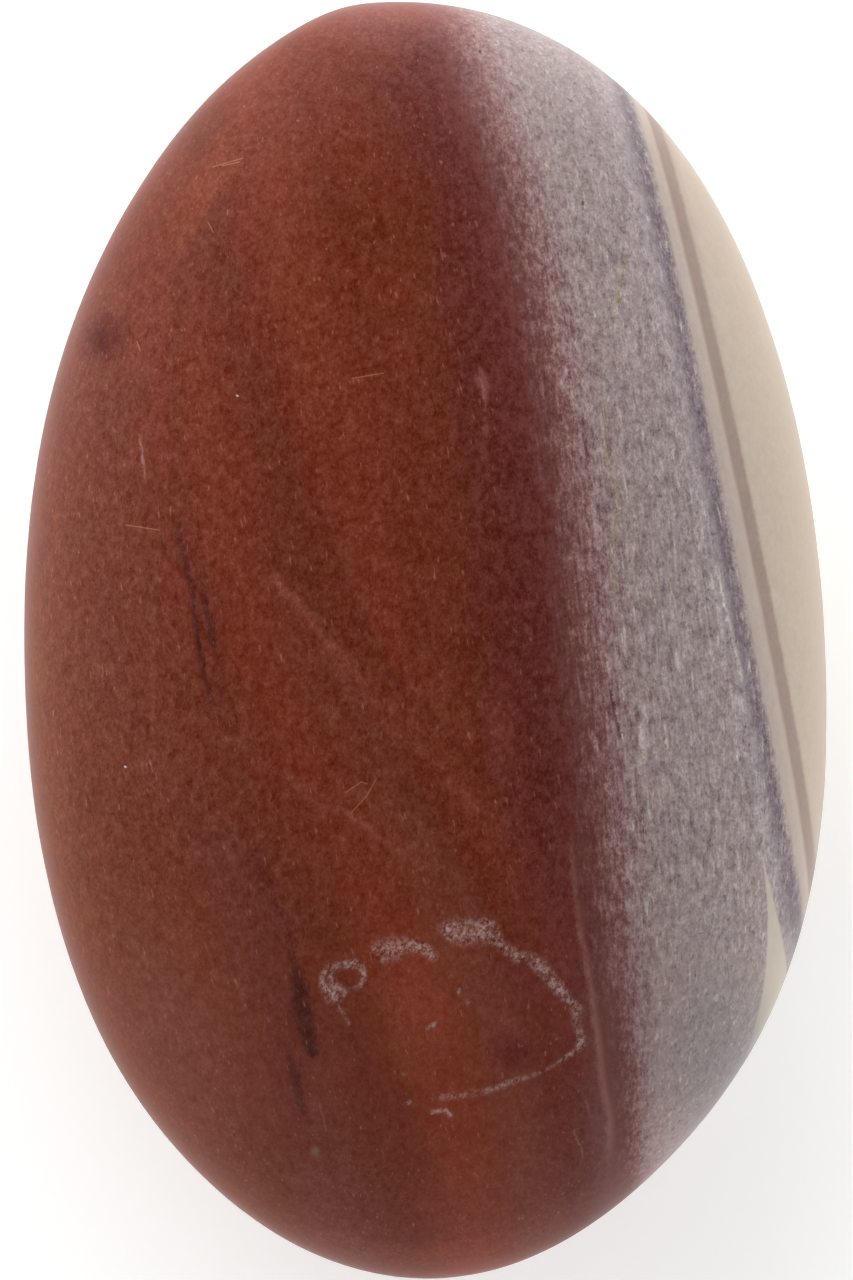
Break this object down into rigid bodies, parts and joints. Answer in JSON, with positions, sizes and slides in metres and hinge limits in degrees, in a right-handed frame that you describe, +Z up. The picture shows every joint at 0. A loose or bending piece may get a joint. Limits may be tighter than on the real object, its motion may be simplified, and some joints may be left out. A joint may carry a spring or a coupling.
{
  "type": "jasper palm stone",
  "caption": "Flattened egg-shaped stone, ground smooth to fit a palm, of red jasper that passes through plum and grey-lavender to a cream edge.",
  "frame": {"origin": "middle of the stone's bounding box, on the surface that it rests on", "axes": "+Y along the stone's length towards its narrower end, +X across it towards the cream edge, +Z up out of the broad face"},
  "size_m": [0.0452, 0.072, 0.0215],
  "materials": {
    "banded_jasper": "satin"
  },
  "bodies": {
    "root": {"palm_stone": "banded_jasper"}
  },
  "joints": []
}
